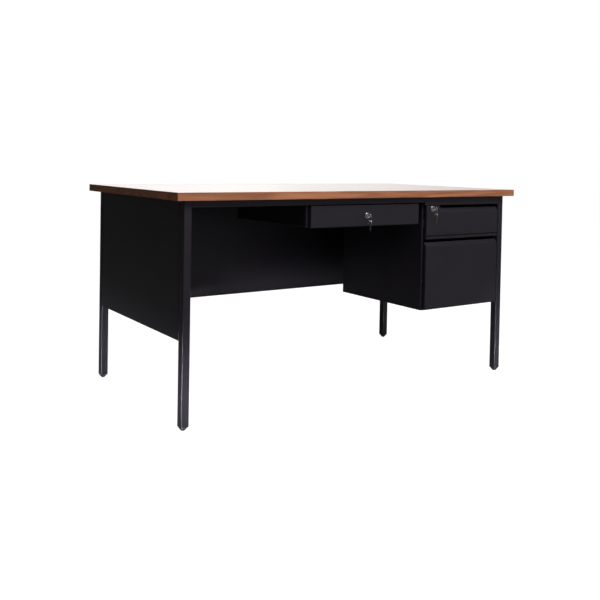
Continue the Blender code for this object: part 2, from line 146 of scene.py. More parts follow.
def bend(corners, radius, steps=4, closed=True):
    """Rounds each corner of an outline.

    The arc's middle lies on the line that halves the corner, at the radius over the sine of half the
    angle; the arc starts and ends where that circle touches the two sides.
    """
    corners = np.asarray(corners, float)
    inner = corners if closed else corners[1:-1]
    before = np.roll(corners, 1, 0) if closed else corners[:-2]
    after = np.roll(corners, -1, 0) if closed else corners[2:]
    to_before, to_after = unit(before - inner), unit(after - inner)
    half = np.arccos(np.clip((to_before * to_after).sum(-1), -1, 1)) / 2
    radius = np.broadcast_to(np.asarray(radius, float), half.shape)
    if (np.abs(half - np.pi / 2) < 0.01).any():
        raise ValueError("an outline has a corner that doesn't turn")
    middle = inner + unit(to_before + to_after) * (radius / np.sin(half))[:, None]
    start = inner + to_before * (radius / np.tan(half))[:, None] - middle
    stop = inner + to_after * (radius / np.tan(half))[:, None] - middle
    angle = np.arctan2(start[:, 1], start[:, 0])
    turn = np.arctan2(stop[:, 1], stop[:, 0]) - angle
    turn = (turn + np.pi) % (2 * np.pi) - np.pi
    way = angle[:, None] + turn[:, None] * np.linspace(0, 1, steps + 1)
    arcs = middle[:, None] + radius[:, None, None] * np.stack([np.cos(way), np.sin(way)], -1)
    arcs = arcs.reshape(-1, 2)
    return arcs if closed else np.vstack([corners[:1], arcs, corners[-1:]])


def beside(line, distance, closed=True):
    """A line's parallel: each point goes along the mean of its two sides' normals, by the distance
    over the cosine of half the turn there."""
    line = np.asarray(line, float)
    sides = unit(np.diff(np.vstack([line, line[:1]]) if closed else line, axis=0))
    before = np.roll(sides, 1, 0) if closed else np.vstack([sides[:1], sides])
    after = sides if closed else np.vstack([sides, sides[-1:]])
    normal_before = np.stack([before[:, 1], -before[:, 0]], -1)
    normal = unit(before + after)
    normal = np.stack([normal[:, 1], -normal[:, 0]], -1)
    return line + normal * (distance / (normal * normal_before).sum(-1))[:, None]


def folded(line, radius=2.0, thick=1.0):
    """The outline of a bent sheet. The line is the sheet's outer face, with the sheet on its left; the
    sheet's middle lies half a thickness inside, and its two faces are that middle's parallels."""
    middle = bend(beside(line, -thick / 2, closed=False), radius - thick / 2, closed=False)
    return np.vstack([beside(middle, thick / 2, False), beside(middle, -thick / 2, False)[::-1]])


def rectangle(low_u, high_u, low_v, high_v):
    return np.array([(low_u, low_v), (high_u, low_v), (high_u, high_v), (low_u, high_v)], float)


def anticlockwise(outline):
    """Turns an outline round if half the sum of its neighbours' cross products is negative."""
    after = np.roll(outline, -1, 0)
    turn = (outline[:, 0] * after[:, 1] - outline[:, 1] * after[:, 0]).sum()
    return outline if turn > 0 else outline[::-1]


print("a 90 degree bend of 2 mm takes", len(bend(rectangle(0, 10, 0, 10), 2)) // 4, "points")


# %% [markdown]
# ## Carrying an outline
#
# A tube, a rail and a drawer front are all one outline carried straight along an axis. At each
# station the outline may be set in by a little. A quarter circle of such insets rounds the piece's
# end, and a longer path of them, over the rim and back down inside, gives a folded tray its wall.
# Spinning a profile about an axis gives the round pieces, and a small circle carried along a curve
# gives wire.

# %% Straight, folded, spun and drawn
AXES = {"x": 0, "y": 1, "z": 2}


def carried(outline, axis, stations):
    """Rows of points: at each station (place along the axis, inset) the outline's parallel."""
    outline = anticlockwise(np.asarray(outline, float))
    rows = np.stack([beside(outline, -inset) for _, inset in stations])
    places = np.array([place for place, _ in stations], float)[:, None, None]
    along = np.broadcast_to(places, rows[..., :1].shape)
    others = [rows[..., :1], rows[..., 1:]]
    others.insert(AXES[axis], along)
    return np.concatenate(others, -1) * MM


def eased(start, stop, radius=0.6, steps=4):
    """Stations of a bar whose two ends are rounded: a quarter circle of place against inset."""
    angle = np.linspace(0, np.pi / 2, steps + 1)
    way = np.sign(stop - start)
    first = np.stack([start + way * radius * (1 - np.sin(angle)), radius * (1 - np.cos(angle))], -1)[::-1]
    last = np.stack([stop - way * radius * (1 - np.sin(angle)), radius * (1 - np.cos(angle))], -1)
    return np.vstack([first, last])


def tray_stations(face, mouth, radius=2.0, thick=1.0, steps=4):
    """Stations of a folded tray: round the bend from its face, along its wall to the mouth, over the
    rim, and back down inside to the inner face."""
    way = np.sign(mouth - face)
    angle = np.linspace(0, np.pi / 2, steps + 1)
    outer = np.stack([face + way * radius * (1 - np.cos(angle)), radius * (1 - np.sin(angle))], -1)
    tight = radius - thick
    inner = np.stack([face + way * (radius - tight * np.cos(angle)), radius - tight * np.sin(angle)], -1)
    return np.vstack([outer, [(mouth, 0), (mouth, thick)], inner[::-1]])


def spun(profile, centre, axis, steps=40):
    """Rows of points: each (radius, place along the axis) of the profile, turned about the axis."""
    profile = np.asarray(profile, float)
    angle = np.arange(steps) * 2 * np.pi / steps
    circle = profile[:, :1, None] * np.stack([np.cos(angle), np.sin(angle)], -1)[None]
    along = np.broadcast_to(profile[:, 1:, None], circle[..., :1].shape)
    others = [circle[..., :1], circle[..., 1:]]
    others.insert(AXES[axis], along)
    return (np.concatenate(others, -1) + np.asarray(centre, float)) * MM


ASKEW = (0.05, 1.0, 0.07)  # a direction that no wire here runs along


def wire(path, radius, steps=8):
    """Rows of points: a circle across an open path at each of its points. The circle's two axes are
    the path's direction crossed with a fixed direction, and crossed with it again."""
    tangent = unit(np.gradient(np.asarray(path, float), axis=0))
    side = unit(np.cross(tangent, ASKEW))
    up = np.cross(side, tangent)
    angle = np.arange(steps) * 2 * np.pi / steps
    ring = side[:, None] * np.cos(angle)[None, :, None] + up[:, None] * np.sin(angle)[None, :, None]
    return (path[:, None] + radius * ring) * MM


def limits(node):
    """A node's lowest and highest corner in millimetres."""
    low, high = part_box(node)
    return np.array(low) / MM, np.array(high) / MM


# %% [markdown]
# ## Finishes
#
# A finish is a Principled shader whose colour, roughness and bump come from noise on the piece's own
# coordinates, so that no two square centimetres are quite alike. Powder coat on steel is a fine
# orange peel of about half a millimetre over a sheet that is never perfectly flat.

# %% Shader helpers
def put(tree, kind, values=None, **settings):
    """Adds a node. A value may be a number, a colour, or another node's output to link."""
    made = tree.nodes.new("ShaderNode" + kind)
    for key, value in settings.items():
        setattr(made, key, value)
    for key, value in (values or {}).items():
        if isinstance(value, bpy.types.NodeSocket):
            tree.links.new(value, made.inputs[key])
        else:
            made.inputs[key].default_value = value
    return made


def finish(name, **constants):
    """A new material; constants are set on the shader's own sockets, with spaces for underscores."""
    made = bpy.data.materials.new(name)
    made.use_nodes = True
    tree = made.node_tree
    shader = tree.nodes["Principled BSDF"]
    for key, value in constants.items():
        shader.inputs[key.replace("_", " ")].default_value = value
    return made, tree, shader


def noise(tree, where, scale, detail=2.0, distortion=0.0, roughness=0.5):
    values = {"Vector": where, "Scale": scale, "Detail": detail, "Distortion": distortion,
              "Roughness": roughness}
    return put(tree, "TexNoise", values).outputs["Fac"]


def stretched(tree, where, scale):
    return put(tree, "Mapping", {"Vector": where, "Scale": scale}).outputs["Vector"]


def between(tree, fac, low, high):
    """A number that runs from low to high as fac runs from 0 to 1."""
    values = {"Value": fac, "To Min": low, "To Max": high}
    return put(tree, "MapRange", values).outputs["Result"]


def ramp(tree, fac, stops):
    """A colour ramp from (place, colour) stops."""
    made = put(tree, "ValToRGB", {"Fac": fac})
    elements = made.color_ramp.elements
    while len(elements) < len(stops):
        elements.new(0.5)
    for element, (place, colour) in zip(elements, stops):
        element.position = place
        element.color = (*colour, 1)
    return made.outputs["Color"]


def bump(tree, height, distance, strength=1.0, onto=None):
    values = {"Height": height, "Distance": distance, "Strength": strength}
    if onto is not None:
        values["Normal"] = onto
    return put(tree, "Bump", values).outputs["Normal"]


def link(tree, shader, **sockets):
    for key, value in sockets.items():
        tree.links.new(value, shader.inputs[key.replace("_", " ")])


# %% [markdown]
# ## Black powder coat
#
# The steel is sprayed with dry powder and baked, which leaves a fine orange peel and no brush marks.
# One flat black would do from afar. Here a slow noise also tints the colour, a fast one makes the
# peel, and a third gives the sheet its slight waves, because they break up the reflections.

# %% Powder coat
def powder_coat():
    made, tree, shader = finish("black_powder_coat", IOR=1.5, Specular_IOR_Level=0.42,
                                Specular_Tint=(0.97, 0.91, 1.0, 1))
    here = put(tree, "TexCoord").outputs["Object"]
    cloud = noise(tree, here, 7.0, 3.0)
    peel = noise(tree, here, 1500.0, 2.0)
    sheet = noise(tree, here, 5.0, 1.0)
    colour = ramp(tree, cloud, [(0.3, (0.0094, 0.0082, 0.0125)), (0.7, (0.0120, 0.0105, 0.0155))])
    normal = bump(tree, peel, 0.00005, 0.6, bump(tree, sheet, 0.0012, 0.25))
    rough = between(tree, noise(tree, here, 420.0), 0.36, 0.5)
    link(tree, shader, Base_Color=colour, Roughness=rough, Normal=normal)
    return made


black = powder_coat()


# %% [markdown]
# ## Printed walnut
#
# The laminate is a printed sheet under clear resin, and the edge band carries the same print without
# the gloss. The print could be an image; here it is noise drawn out along the board, so it never
# repeats. The top's clear coat is what mirrors the bright backdrop at a low angle.

# %% Walnut laminate and its edge band
RING_WAVES, RING_TONE, BOARD_TONE = 46.0, 0.09, 0.35
WALNUT = [(0.25, (0.172, 0.058, 0.026)), (0.45, (0.300, 0.108, 0.049)), (0.62, (0.404, 0.153, 0.071)),
          (0.8, (0.478, 0.194, 0.094))]


def walnut(name, where, across, lift, **constants):
    """Printed walnut. The grain is noise drawn out along the board; a sine of a slower noise gives
    the figure's dark rings, and a finer, longer noise gives the pores."""
    made, tree, shader = finish(name, **constants)
    here = put(tree, "TexCoord").outputs[where]
    long_noise = noise(tree, stretched(tree, here, (1.1, across, across)), 1.0, 3.0, 0.8)
    rings = put(tree, "Math", {0: long_noise, 1: RING_WAVES}, operation="MULTIPLY").outputs[0]
    rings = put(tree, "Math", {0: rings}, operation="SINE").outputs[0]
    streak = noise(tree, stretched(tree, here, (5.0, across * 26, across * 26)), 1.0, 4.0, 0.0, 0.7)
    pores = noise(tree, stretched(tree, here, (40.0, across * 120, across * 120)), 1.0, 2.0)
    tone = put(tree, "Math", {0: rings, 1: RING_TONE, 2: streak}, operation="MULTIPLY_ADD").outputs[0]
    tone = put(tree, "Math", {0: long_noise, 1: BOARD_TONE, 2: tone}, operation="MULTIPLY_ADD").outputs[0]
    tone = put(tree, "Math", {0: tone, 1: lift}, operation="SUBTRACT").outputs[0]
    pore_bump = bump(tree, pores, 0.00004, 0.5)
    link(tree, shader, Base_Color=ramp(tree, tone, WALNUT), Normal=pore_bump,
         Roughness=between(tree, streak, constants["Roughness"] - 0.05, constants["Roughness"] + 0.08))
    return made


walnut_top = walnut("walnut_laminate", "Object", 9.0, 0.16, Roughness=0.3, Coat_Weight=1.0,
                    Coat_Roughness=0.06, Coat_IOR=1.7)
walnut_band = walnut("walnut_edge_band", "UV", 9.0, 0.12, Roughness=0.45)


# %% [markdown]
# ## Board, nylon and plated steel
#
# Pressed board is a field of flakes, which cells of random colour stand in for. Moulded nylon is a
# plain dark grain. The slides are zinc plated and the locks nickel plated: both are metal with fine
# marks, so one function makes the two from their colours and roughness.

# %% Board, nylon, zinc and nickel
def pressed_board():
    made, tree, shader = finish("particle_board", Roughness=0.9)
    here = put(tree, "TexCoord").outputs["Object"]
    cells = {"Vector": stretched(tree, here, (150, 260, 150)), "Scale": 1.0}
    flakes = put(tree, "TexVoronoi", cells).outputs["Color"]
    value = put(tree, "SeparateColor", {"Color": flakes}).outputs[0]
    colour = ramp(tree, value, [(0.0, (0.26, 0.17, 0.09)), (0.5, (0.40, 0.28, 0.16)),
                                (1.0, (0.52, 0.39, 0.24))])
    link(tree, shader, Base_Color=colour, Normal=bump(tree, value, 0.0002, 0.5))
    return made


def nylon():
    made, tree, shader = finish("black_nylon", IOR=1.53)
    here = put(tree, "TexCoord").outputs["Object"]
    grain = noise(tree, here, 900.0)
    colour = ramp(tree, noise(tree, here, 40.0), [(0.3, (0.012, 0.012, 0.013)), (0.7, (0.02, 0.02, 0.021))])
    link(tree, shader, Base_Color=colour, Roughness=between(tree, grain, 0.4, 0.6),
         Normal=bump(tree, grain, 0.00008, 0.4))
    return made


def plated(name, light, dark, smoothest, roughest, along, **constants):
    """Plated steel: the drawing marks run along the piece, and the plate's cloud is slow."""
    made, tree, shader = finish(name, Metallic=1.0, **constants)
    here = put(tree, "TexCoord").outputs["Object"]
    marks = noise(tree, stretched(tree, here, along), 1.0, 4.0)
    cloud = noise(tree, here, 30.0, 2.0)
    link(tree, shader, Base_Color=ramp(tree, cloud, [(0.3, dark), (0.7, light)]),
         Roughness=between(tree, marks, smoothest, roughest), Normal=bump(tree, marks, 0.00003, 0.35))
    return made


board = pressed_board()
black_nylon = nylon()
zinc = plated("zinc_plated_steel", (0.66, 0.67, 0.68), (0.52, 0.53, 0.56), 0.28, 0.46, (1500, 60, 1500))
nickel = plated("nickel_plated_steel", (0.80, 0.79, 0.77), (0.68, 0.67, 0.65), 0.10, 0.24, (900, 900, 900))
print("finishes:", [m.name for m in (black, walnut_top, walnut_band, board, black_nylon, zinc, nickel)])


# %% [markdown]
# ## The desktop
#
# A particle-board core carries a walnut-print laminate on top and an edge band on all four sides. The
# band stands 1.7 mm thick and its long edges are barely eased, which is why the top looks sharp. Its
# grain follows the edge, so it gets a UV map: distance round the rim, and height.

# %% Laminate and band
def around_map(made, grid):
    """A UV map in metres: distance along each outline, and height."""
    grid = np.asarray(grid)
    steps = np.linalg.norm(np.diff(np.concatenate([grid, grid[:, :1]], 1), axis=1), axis=-1)
    reach = np.concatenate([np.zeros((len(grid), 1)), np.cumsum(steps, 1)], 1)[:, :-1]
    flat = np.stack([reach, grid[..., 2]], -1).reshape(-1, 2)
    corners = read(made.data.loops, "vertex_index", np.int32)
    layer = made.data.uv_layers.new(name="along_the_edge")
    layer.data.foreach_set("uv", flat[corners].astype(np.float32).ravel())


def refinish(node, material):
    """Gives a solid that stays in view a finish of its own."""
    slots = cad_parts[node].data.materials
    slots.clear()
    slots.append(material)


refinish("desktop_core", board)

BAND_THICK, BAND_CORNER, BAND_EASE = 1.7, 2.2, 0.5
low, high = limits("desktop_edge_band")
rim = bend(rectangle(low[0], high[0], low[1], high[1]), BAND_CORNER, 6)
band_inside = [(high[2], BAND_THICK), (low[2], BAND_THICK)]
band_grid = carried(rim, "z", np.vstack([eased(low[2], high[2], BAND_EASE), band_inside]))
edge_band = piece("edge_band", band_grid, walnut_band, "desk", round_row=True)
around_map(edge_band, band_grid)
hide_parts("desktop_edge_band")

SHEET_CORNER, SHEET_EASE = 0.4, 0.15
low, high = limits("desktop_laminate")
sheet_rim = bend(rectangle(low[0], high[0], low[1], high[1]), SHEET_CORNER, 3)
sheet_grid = carried(sheet_rim, "z", eased(low[2], high[2], SHEET_EASE, 2))
laminate = piece("laminate_sheet", sheet_grid, walnut_top, "desk")
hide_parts("desktop_laminate")
print("desktop", [round(float(x), 1) for x in high - low], "mm")


# %% [markdown]
# ## Legs
#
# Each leg is 28.6 mm square tube with a 1.5 mm wall. Its corners are rolled to about 4 mm, and they
# are what shows as the soft light line down the tube. A box with bevelled edges would look much the
# same from outside. The outline is carried up the outside and back down inside, so the foot is open.

# %% Four legs
CORNERS = [(along, across) for along in ("front", "rear") for across in ("left", "right")]
LEG_CORNER, LEG_WALL = 4.0, 1.5

for along, across in CORNERS:
    node = f"leg_{along}_{across}"
    low, high = limits(node)
    square = bend(rectangle(low[0], high[0], low[1], high[1]), LEG_CORNER, 8)
    stations = [(low[2], 0), (high[2], 0), (high[2], LEG_WALL), (low[2], LEG_WALL)]
    tube = piece(f"tube_{along}_{across}", carried(square, "z", stations), black, "desk",
                 round_row=True)
    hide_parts(node)
print("leg", [round(float(x), 1) for x in high - low], "mm")


# %% [markdown]
# ## Glides
#
# A glide is a moulded nylon cone on a collar, with a plug that is pressed into the tube. It is round,
# so a profile spun about the leg's axis gives it. Its two ends are closed by small flat faces.

# %% Four glides
GLIDE_PLUG, GLIDE_COLLAR, GLIDE_TIP = 10.5, 11.7, 0.8

for along, across in CORNERS:
    node = f"glide_{along}_{across}"
    low, high = limits(node)
    middle = (low + high) / 2
    wide = (high[0] - low[0]) / 2
    cone = [(GLIDE_TIP, 0), (5.6, 0), (6.2, 0.25), (wide - 0.5, 8.6), (wide, 9.4)]
    collar = [(wide, 11.0), (wide - 0.7, GLIDE_COLLAR), (GLIDE_PLUG, GLIDE_COLLAR)]
    pressed = [(GLIDE_PLUG, high[2] - 2), (GLIDE_PLUG - 2, high[2]), (GLIDE_TIP, high[2])]
    profile = cone + collar + pressed
    foot = piece(f"foot_{along}_{across}", spun(profile, (middle[0], middle[1], 0), "z"), black_nylon, "desk")
    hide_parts(node)


# %% [markdown]
# ## Sheet-steel panels
#
# The end panels, the back panel, the pedestal walls and the drawer hangers are all shallow trays: a
# flat face with its four edges folded back. The folds stiffen the sheet and hide its cut edges, so
# what shows is a narrow roll of light round every face.

# %% Trays
def tray(name, node, axis, face_first, body, radius=2.0):
    """A tray the size of its node. Its face is at the node's low side of the axis, or at the high
    side when face_first is false."""
    low, high = limits(node)
    i = AXES[axis]
    u, v = [k for k in range(3) if k != i]
    face, mouth = (low[i], high[i]) if face_first else (high[i], low[i])
    outline = bend(rectangle(low[u], high[u], low[v], high[v]), radius + 0.4, 4)
    grid = carried(outline, axis, tray_stations(face, mouth, radius))
    made = piece(name, grid, black, body)
    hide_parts(node)


tray("end_sheet_left", "end_panel_left", "x", True, "desk")
tray("end_sheet_right", "end_panel_right", "x", False, "desk")
tray("back_sheet", "modesty_panel", "y", False, "desk")
tray("pedestal_wall_left", "pedestal_side_left", "x", True, "desk", 2.5)
tray("pedestal_wall_right", "pedestal_side_right", "x", False, "desk", 2.5)
tray("hanger_left", "drawer_hanger_left", "x", True, "desk")
tray("hanger_right", "drawer_hanger_right", "x", False, "desk")
for node in ("pedestal_back", "pedestal_bottom", "box_drawer_back", "file_drawer_back", "centre_drawer_back"):
    refinish(node, black)


# %% [markdown]
# ## Front rails
#
# Two folded channels close the gap between the top and the drawers. Each has a face 22 or 32 mm
# high, and flanges turned back at its top and bottom; the top flange is screwed to the board.

# %% Rails
def rail(name, node):
    low, high = limits(node)
    line = [(high[1], high[2]), (low[1], high[2]), (low[1], low[2]), (high[1], low[2])]
    grid = carried(folded(line), "x", [(low[0], 0), (high[0], 0)])
    made = piece(name, grid, black, "desk")
    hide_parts(node)


rail("rail_kneehole", "front_rail")
rail("rail_pedestal", "pedestal_rail")


# %% [markdown]
# ## The centre drawer's front
#
# This front is one more shallow tray, with its face forwards and a flat liner behind it.

# %% The flat centre front
tray("centre_front", "centre_drawer_front", "y", True, "centre_drawer")
refinish("centre_drawer_liner", black)


# %% [markdown]
# ## The pedestal's fronts
#
# A pedestal front is a boxed sheet 14 mm deep. It has a pull along its upper edge: the face leans
# back there, so that fingers reach in over it. The box drawer's pull stops about 70 mm short of its
# left end and leaves a flat tab for the lock, and a groove runs above its lower edge. Each front could be a
# box with cuts in it; a side outline carried across gives the lean, the tab and the groove at once.

# %% Fronts with a leaning pull
FRONT_DEEP, PULL_BACK, PULL_HIGH = 14.0, 11.5, 14.0
BOX_TOP, TAB_X, TAB_TOP = 674.0, 370.0, 683.0
GROOVE_Z, GROOVE_HIGH, GROOVE_DEEP, GROOVE_DRAFT = 565.5, 4.5, 8.0, 0.3
END_EASE = 0.24


def front_side(low, top, groove=False, tab=False):
    """Side outline of a front: up the face, over the lean, back along the top, and down behind."""
    face, back = low[1], low[1] + FRONT_DEEP
    marks = []
    if groove:
        under, over, inside = GROOVE_Z, GROOVE_Z + GROOVE_HIGH, face + GROOVE_DEEP
        marks = [(face, under), (inside, under + GROOVE_DRAFT), (inside, over - GROOVE_DRAFT), (face, over)]
    if tab:
        lean, rolls = [(face, top - 3), (face + 1.2, top)], [1.5, 1.0]
    else:
        lean, rolls = [(face, top - PULL_HIGH), (face + PULL_BACK, top)], [2.5, 1.0]
    corners = [(back, low[2]), (face, low[2])] + marks + lean + [(back, top)]
    return bend(corners, [0.3, 2.0] + [0.25] * len(marks) + rolls + [0.3], 5)


def side_rows(outlines, places, insets):
    """Rows along X: each side outline's parallel, at its place."""
    rows = np.stack([beside(anticlockwise(o), -d) for o, d in zip(outlines, insets)])
    across = np.broadcast_to(np.array(places, float)[:, None, None], rows[..., :1].shape)
    return np.concatenate([across, rows], -1) * MM


low, high = limits("file_drawer_front")
side = front_side(low, high[2])
ends = eased(low[0], high[0], END_EASE, 3)
grid = side_rows([side] * len(ends), ends[:, 0], ends[:, 1])
front = piece("file_front", grid, black, "file_drawer")
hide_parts("file_drawer_front", "file_drawer_liner")

low, high = limits("box_drawer_front")
tabbed = front_side(low, TAB_TOP, groove=True, tab=True)
plain = front_side(low, BOX_TOP, groove=True)
places = [low[0], low[0] + END_EASE, TAB_X, TAB_X + 0.4, high[0] - END_EASE, high[0]]
grid = side_rows([tabbed] * 3 + [plain] * 3, places, [END_EASE, 0, 0, 0, 0, END_EASE])
front = piece("box_front", grid, black, "box_drawer")
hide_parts("box_drawer_front", "box_drawer_liner")


# %% [markdown]
# ## Drawer pans
#
# Behind each front is one sheet folded into a bottom and two sides. The tops of the sides turn in by
# 6 mm, which stiffens them and leaves no sharp edge for a hand.

# %% Three pans
LIP, PAN_BEND = 6.0, 1.8


def drawer_pan(name, node, body):
    low, high = limits(node)
    x0, x1, z0, z1 = low[0], high[0], low[2], high[2]
    line = [(x0 + LIP, z1), (x0, z1), (x0, z0), (x1, z0), (x1, z1), (x1 - LIP, z1)]
    grid = carried(folded(line, PAN_BEND), "y", [(low[1], 0), (high[1], 0)])
    made = piece(name, grid, black, body)
    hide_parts(node)


for name in ("centre", "box", "file"):
    drawer_pan(f"{name}_pan", f"{name}_drawer_pan", f"{name}_drawer")


# %% [markdown]
# ## Slides
#
# A slide is a set of channels rolled from zinc-plated strip, nested so that balls run in their
# curved edges. The box and centre drawers have two members a side. The file drawer has three, so
# that it comes out nearly its whole depth. The balls aren't made: they would never be seen.

# %% Channels
CHANNEL_BEND, STRIP = 2.4, 1.2


def channel(name, node, body, web_low):
    """A C-shaped strip carried along Y. Its web is on the low-x side when web_low is true."""
    low, high = limits(node)
    web, lip = (low[0], high[0]) if web_low else (high[0], low[0])
    line = [(lip, high[2]), (web, high[2]), (web, low[2]), (lip, low[2])]
    outline = folded(line if web_low else line[::-1], CHANNEL_BEND, STRIP)
    grid = carried(outline, "y", [(low[1], 0), (high[1], 0)])
    made = piece(name, grid, zinc, body)
    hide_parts(node)


SLIDES = {
    "track": {"centre": "desk", "box": "desk", "file": "desk"},
    "middle_slide": {"file": "file_middle_slides"},
    "runner": {"centre": "centre_drawer", "box": "box_drawer", "file": "file_drawer"},
}
for member, bodies in SLIDES.items():
    for drawer, body in bodies.items():
        for side in ("left", "right"):
            channel(f"{drawer}_{member}_channel_{side}", f"{drawer}_{member}_{side}", body,
                    (side == "left") == (member != "runner"))
print("slide channels:", 2 * sum(len(bodies) for bodies in SLIDES.values()))


# %% [markdown]
# ## Locks
#
# A cam lock is a nickel-plated housing whose collar sits on the drawer front, and a plug that turns
# in it. The collar is a spun profile. The plug's face runs in from its rim to the keyway, and down
# the keyway's walls, so each of its outlines is a radius that depends on the angle.

# %% Housing and plug
BARREL, BORE, COLLAR_DEEP, COLLAR_ROLL = 8.2, 5.75, 1.9, 1.3
PLUG_WIDE, PLUG_SHOULDER, PLUG_TAIL, PLUG_EASE = 5.4, 16.9, 3.0, 0.35
KEYWAY_WIDE, KEYWAY_HIGH, KEYWAY_DEEP, KEYWAY_EASE = 1.25, 3.4, 12.0, 0.15  # half sizes, depth, bevel
TURNED = 56


def housing(name, node, body):
    low, high = limits(node)
    middle = (low + high) / 2
    face, wide = low[1], (high[0] - low[0]) / 2
    angle = np.linspace(0, np.pi / 2, 6)
    rim = np.stack([wide - COLLAR_ROLL * (1 - np.sin(angle)), face + COLLAR_ROLL * (1 - np.cos(angle))], -1)
    dish = [(BORE, face + 0.9), (6.1, face + 0.35), (6.6, face + 0.05), (7.2, face)]
    barrel = [(wide, face + COLLAR_DEEP), (BARREL, face + COLLAR_DEEP), (BARREL, high[1]), (BORE, high[1])]
    grid = spun(np.vstack([dish, rim, barrel]), (middle[0], 0, middle[2]), "y", TURNED)
    made = piece(name, grid, nickel, body, round_row=True)
    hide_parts(node)


def keyway(angle):
    """The keyway's radius at an angle: the nearer of its two walls along that direction."""
    return np.minimum(KEYWAY_WIDE / np.maximum(np.abs(np.cos(angle)), 1e-6),
                      KEYWAY_HIGH / np.maximum(np.abs(np.sin(angle)), 1e-6))


def plug(name, node, body):
    low, high = limits(node)
    middle = (low + high) / 2
    face, back = low[1], high[1]
    corner = math.atan2(KEYWAY_HIGH, KEYWAY_WIDE)
    corners = np.array([corner, math.pi - corner, math.pi + corner, -corner]) % (2 * math.pi)
    angle = np.concatenate([np.arange(TURNED) * 2 * np.pi / TURNED, corners])
    angle = np.unique(np.round(angle, 6))
    slot = keyway(angle)
    rows = [(1.0, back), (PLUG_TAIL, back - 0.4), (PLUG_TAIL, face + PLUG_SHOULDER),
            (PLUG_WIDE, face + PLUG_SHOULDER), (PLUG_WIDE, face + PLUG_EASE), (PLUG_WIDE - PLUG_EASE, face),
            (slot + KEYWAY_EASE, face), (slot, face + KEYWAY_EASE), (slot, face + KEYWAY_DEEP),
            (slot * 0.2, face + KEYWAY_DEEP)]
    radius = np.stack([np.broadcast_to(reach, slot.shape) for reach, _ in rows])
    x = middle[0] + radius * np.cos(angle)
    z = middle[2] + radius * np.sin(angle)
    y = np.broadcast_to(np.array([place for _, place in rows])[:, None], x.shape)
    made = piece(name, np.stack([x, y, z], -1) * MM, nickel, body)
    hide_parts(node)


# %% [markdown]
# ## Keys
#
# A key is a disc with a hole, and a blade. The disc's outline and its hole share one angle, and a
# small closed section is carried round between them, with a raised rim. The blade is a section with a
# milled groove on each side, carried along the key; its upper edge follows the cuts.

# %% Key
BOW, HOLE, HOLE_AT = 8.0, 3.2, -4.0
PLATE, WEB = 0.9, 0.62  # half thickness of the raised rims, and of the disc between them
# (distance from the disc's edge or from the hole's, half thickness there)
OUTER_RIM = [(0, 0.5), (0.3, PLATE), (1.0, PLATE), (1.25, WEB)]
HOLE_RIM = [(1.0, WEB), (0.8, PLATE), (0.25, PLATE), (0, 0.55)]
STEPS_ROUND = 48


def bow_rows():
    """(along, across, thick) of the disc: rows round the section, columns round the disc."""
    angle = np.arange(STEPS_ROUND) * 2 * np.pi / STEPS_ROUND
    circle = np.stack([np.cos(angle), np.sin(angle)], -1)
    outer, inner = BOW * circle, np.array([HOLE_AT, 0]) + HOLE * circle
    width = np.linalg.norm(outer - inner, axis=-1, keepdims=True)
    section = [(np.full_like(width, inset), thick) for inset, thick in OUTER_RIM]
    section += [(width - inset, thick) for inset, thick in HOLE_RIM]
    rows = [np.concatenate([outer + (inner - outer) * (inset / width), np.full_like(width, thick)], -1)
            for inset, thick in section]
    back = [row * (1, 1, -1) for row in rows[::-1]]
    return np.stack(rows + back)


BLADE, SHOULDER, TIP = 3.0, 4.5, 2.0  # half heights of the blade and its shoulder, and the tip's length
CUTS_FROM, CUTS_END, CUT_PITCH = 4.0, 2.5, 2.6
BLADE_SECTION = [(-9, -0.8), (-1.6, -0.9), (-1.3, -0.35), (-0.5, -0.35), (-0.2, -0.9), (9, -0.8),
                 (9, 0.8), (1.2, 0.9), (0.9, 0.35), (0.2, 0.35), (-0.1, 0.9), (-9, 0.8)]


def blade_rows(length):
    """(along, across, thick) of the blade: rows along the key, columns round its section."""
    shoulder = [BOW - 1.5, BOW + 0.4, BOW + 0.5, BOW + 2.0, BOW + 2.01]
    along = np.concatenate([shoulder, np.linspace(BOW + 2.5, BOW + length, 61)])
    cuts = np.abs((along - BOW - CUTS_FROM) / CUT_PITCH % 1 - 0.5) * 2 * (0.9 + 0.7 * np.sin(along * 2.1))
    cuts = np.where((along > BOW + CUTS_FROM) & (along < BOW + length - CUTS_END), cuts, 0.0)
    stop = (along > BOW + 0.45) & (along < BOW + 2.005)
    tip = np.clip((along - (BOW + length - TIP)) / TIP, 0, 1)
    upper = np.where(stop, SHOULDER, BLADE) - cuts - 1.6 * tip
    lower = np.where(stop, -SHOULDER, -BLADE) + 2.0 * tip
    section = np.array(BLADE_SECTION)
    across = np.clip(section[None, :, 0], lower[:, None], upper[:, None])
    thick = np.broadcast_to(section[None, :, 1], across.shape)
    return np.stack([np.broadcast_to(along[:, None], across.shape), across, thick], -1)


def placed(rows, where):
    """Turns (along, across, thick) into the room: where is a function of the three."""
    return where(rows[..., 0], rows[..., 1], rows[..., 2]) * MM


def key(name, node, body, where, length):
    bow = piece(name, placed(bow_rows(), where), nickel, body, round_row=True)
    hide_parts(node)
    piece(name + "_blade", placed(blade_rows(length), where), nickel, body)


# %% [markdown]
# ## The ring, and both sets
#
# A split ring is spring wire wound twice. A torus would do from afar, but the step where one turn
# lies beside the other is what tells the eye that it is a split ring, so the path is a flat helix.
# One key sits in its plug with its bow to the front; the spare hangs from the ring.

# %% Ring, and both sets
WIRE = 0.27  # radius
TURNED_BLADE, SPARE_BLADE = 14.0, 22.0


